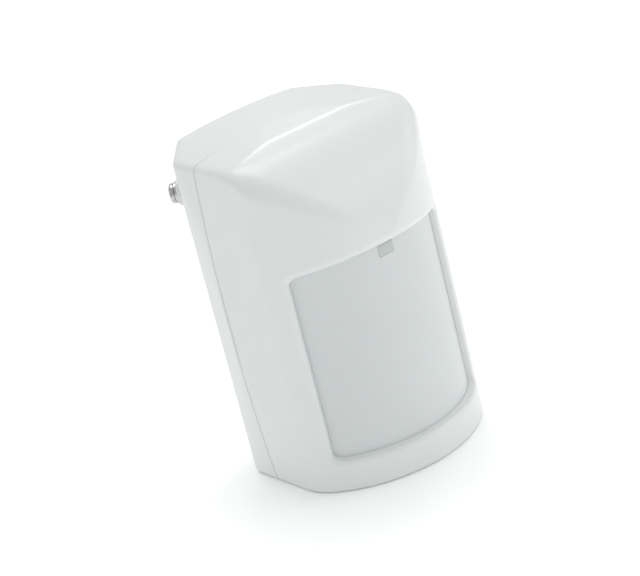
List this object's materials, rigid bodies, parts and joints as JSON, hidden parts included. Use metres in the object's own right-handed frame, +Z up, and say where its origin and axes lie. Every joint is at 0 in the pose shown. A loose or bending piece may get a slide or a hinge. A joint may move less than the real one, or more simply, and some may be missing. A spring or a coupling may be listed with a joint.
{
  "type": "motion sensor",
  "caption": "Compact wired passive infrared motion sensor: bevelled rear case, hinged hooded cover with a curved lens window, and a height-adjustable circuit board inside.",
  "frame": {"origin": "under the middle of the case, in the plane of its flat bottom, halfway between the wall face and the front of the hood", "axes": "+Z up, the lens window faces -Y, the wall face is on the +Y side, X across the width"},
  "size_m": [0.058, 0.0516, 0.086],
  "materials": {
    "case_plastic": "smooth injection-moulded, satin gloss",
    "lens_plastic": "translucent moulded sheet with fine grooves inside",
    "frame_plastic": "moulded",
    "guide_plastic": "tinted clear plastic",
    "screw_steel": "nickel plated",
    "board_green": "solder-masked glass-fibre laminate",
    "can_metal": "tin plated",
    "filter_dark": "coated silicon",
    "terminal_plastic": "moulded",
    "clamp_metal": "tin plated",
    "lamp_plastic": "tinted clear epoxy",
    "relay_plastic": "moulded",
    "capacitor_sleeve": "shrink sleeve",
    "chip_black": "moulded epoxy",
    "switch_plastic": "moulded",
    "plunger_plastic": "moulded",
    "lever_plastic": "moulded"
  },
  "bodies": {
    "base": {"rear_case": "case_plastic", "corner_mount_screw": "screw_steel", "board_clamp_screw": "screw_steel"},
    "board": {"circuit_board": "board_green", "infrared_sensor_can": "can_metal", "infrared_sensor_filter": "filter_dark", "sensor_collar": "frame_plastic", "terminal_block": "terminal_plastic", "terminal_screws": "screw_steel", "terminal_clamps": "clamp_metal", "status_lamp": "lamp_plastic", "alarm_relay": "relay_plastic", "capacitors": "capacitor_sleeve", "resistors": "chip_black", "control_chip": "chip_black", "crystal": "can_metal", "dip_switch_block": "switch_plastic", "tamper_switch": "chip_black"},
    "cover": {"front_cover": "case_plastic", "fresnel_lens": "lens_plastic", "lens_frame": "frame_plastic", "indicator_light_guide": "guide_plastic"},
    "plunger": {"tamper_plunger": "plunger_plastic"},
    "lever_1": {"dip_lever_1": "lever_plastic"},
    "lever_2": {"dip_lever_2": "lever_plastic"},
    "lever_3": {"dip_lever_3": "lever_plastic"}
  },
  "joints": [
    {"name": "cover_hinge", "type": "hinge", "parent": "base", "child": "cover", "pos_m": [0, 0.00635, 0.086], "axis": [-1, 0, 0], "range_deg": [0, 70]},
    {"name": "board_slide", "type": "slide", "parent": "base", "child": "board", "axis": [0, 0, 1], "range_m": [-0.0025, 0.0025]},
    {"name": "tamper_press", "type": "slide", "parent": "board", "child": "plunger", "axis": [0, 1, 0], "range_m": [0, 0.001], "stiffness_N_per_m": 150, "springref_m": -0.001},
    {"name": "dip_lever_1_slide", "type": "slide", "parent": "board", "child": "lever_1", "axis": [0, 0, 1], "range_m": [0, 0.0012]},
    {"name": "dip_lever_2_slide", "type": "slide", "parent": "board", "child": "lever_2", "axis": [0, 0, 1], "range_m": [0, 0.0012]},
    {"name": "dip_lever_3_slide", "type": "slide", "parent": "board", "child": "lever_3", "axis": [0, 0, 1], "range_m": [0, 0.0012]}
  ]
}
